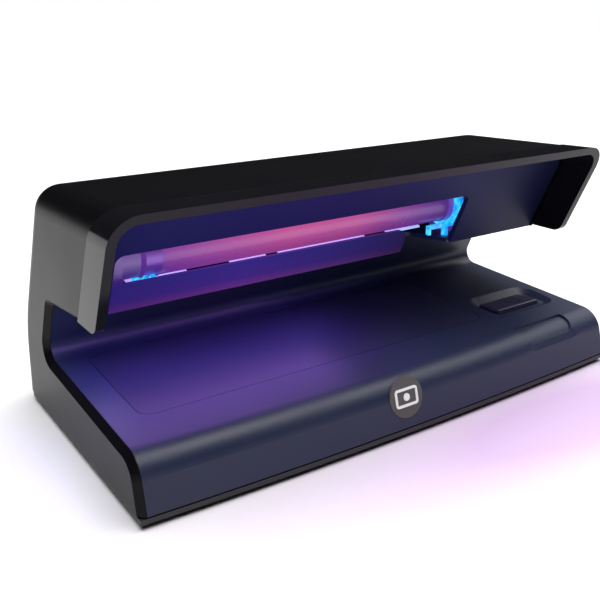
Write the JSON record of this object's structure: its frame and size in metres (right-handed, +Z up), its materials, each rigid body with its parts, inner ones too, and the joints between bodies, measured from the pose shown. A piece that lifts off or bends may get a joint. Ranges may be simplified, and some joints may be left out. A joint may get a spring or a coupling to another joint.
{
  "type": "counterfeit bill detector",
  "caption": "Desk-top counterfeit bill detector: C-shaped case with a sloping document platform, an ultraviolet tube in the hood and a push button.",
  "frame": {"origin": "on the table, under the middle of the object's box", "axes": "+X to the right along the lamp, +Y to the back, +Z up; the platform opens towards -Y"},
  "size_m": [0.2066, 0.1089, 0.0886],
  "materials": {
    "tray_plastic": "dark matte moulded ABS",
    "cover_plastic": "fine-grained dark slate ABS",
    "plate_plastic": "satin dark insert",
    "housing_plastic": "fine-grained near-black ABS",
    "gloss_band": "piano black",
    "panel_plastic": "satin dark panel",
    "guard_plastic": "violet translucent strip",
    "reflector_white": "white painted sheet",
    "tube_glass": "coated lamp glass",
    "cap_metal": "drawn aluminium",
    "pin_metal": "plain",
    "holder_plastic": "white lampholder plastic",
    "screw_steel": "zinc plated",
    "clip_clear": "clear clip that glows cyan beside the lamp",
    "badge_metal": "spun disc",
    "mark_white": "white raised pictogram",
    "button_plastic": "satin key",
    "switch_plastic": "white plunger",
    "spring_steel": "spring wire",
    "part_plastic": "black component body",
    "circuit_board": "green solder mask",
    "ferrite": "ferrite core",
    "coil_tape": "taped winding",
    "capacitor_sleeve": "sleeved cans and film blocks",
    "sink_metal": "extruded",
    "wire_sleeve": "white sleeved wire",
    "foot_rubber": "black rubber"
  },
  "bodies": {
    "root": {"base_tray": "tray_plastic", "front_cover": "cover_plastic", "document_plate": "plate_plastic", "rear_housing": "housing_plastic", "hood_bezel": "gloss_band", "lamp_panel": "panel_plastic", "lamp_guard": "guard_plastic", "hood_floor": "cover_plastic", "reflector": "reflector_white", "lamp_holder_left": "holder_plastic", "lamp_holder_right": "holder_plastic", "holder_screws": "screw_steel", "tube_clip_left": "clip_clear", "tube_clip_right": "clip_clear", "badge": "badge_metal", "badge_mark": "mark_white", "button_spring": "spring_steel", "switch_body": "part_plastic", "switch_board": "circuit_board", "ballast_board": "circuit_board", "ballast_transformer": "ferrite", "transformer_coil": "coil_tape", "ballast_capacitors": "capacitor_sleeve", "ballast_choke": "ferrite", "heat_sink": "sink_metal", "power_transistors": "part_plastic", "board_screws": "screw_steel", "power_jack": "part_plastic", "jack_pin": "pin_metal", "lamp_wires_left": "wire_sleeve", "lamp_wires_right": "wire_sleeve", "jack_wires": "wire_sleeve", "switch_wires": "wire_sleeve", "housing_screws": "screw_steel", "rubber_foot_front_left": "foot_rubber", "rubber_foot_front_right": "foot_rubber", "rubber_foot_rear_left": "foot_rubber", "rubber_foot_rear_right": "foot_rubber"},
    "button": {"power_button": "button_plastic", "switch_plunger": "switch_plastic"},
    "lamp": {"uv_tube": "tube_glass", "tube_cap_left": "cap_metal", "tube_cap_right": "cap_metal", "tube_pins": "pin_metal", "lamp_rotor_left": "holder_plastic", "lamp_rotor_right": "holder_plastic"}
  },
  "joints": [
    {"name": "button_press", "type": "slide", "parent": "root", "child": "button", "axis": [0, 0, -1], "range_m": [0, 0.0015], "stiffness_N_per_m": 400, "springref_m": -0.001, "deforming": ["button_spring"]},
    {"name": "lamp_twist", "type": "hinge", "parent": "root", "child": "lamp", "pos_m": [-0.012, -0.0035, 0.0652], "axis": [1, 0, 0], "range_deg": [0, 90]}
  ]
}
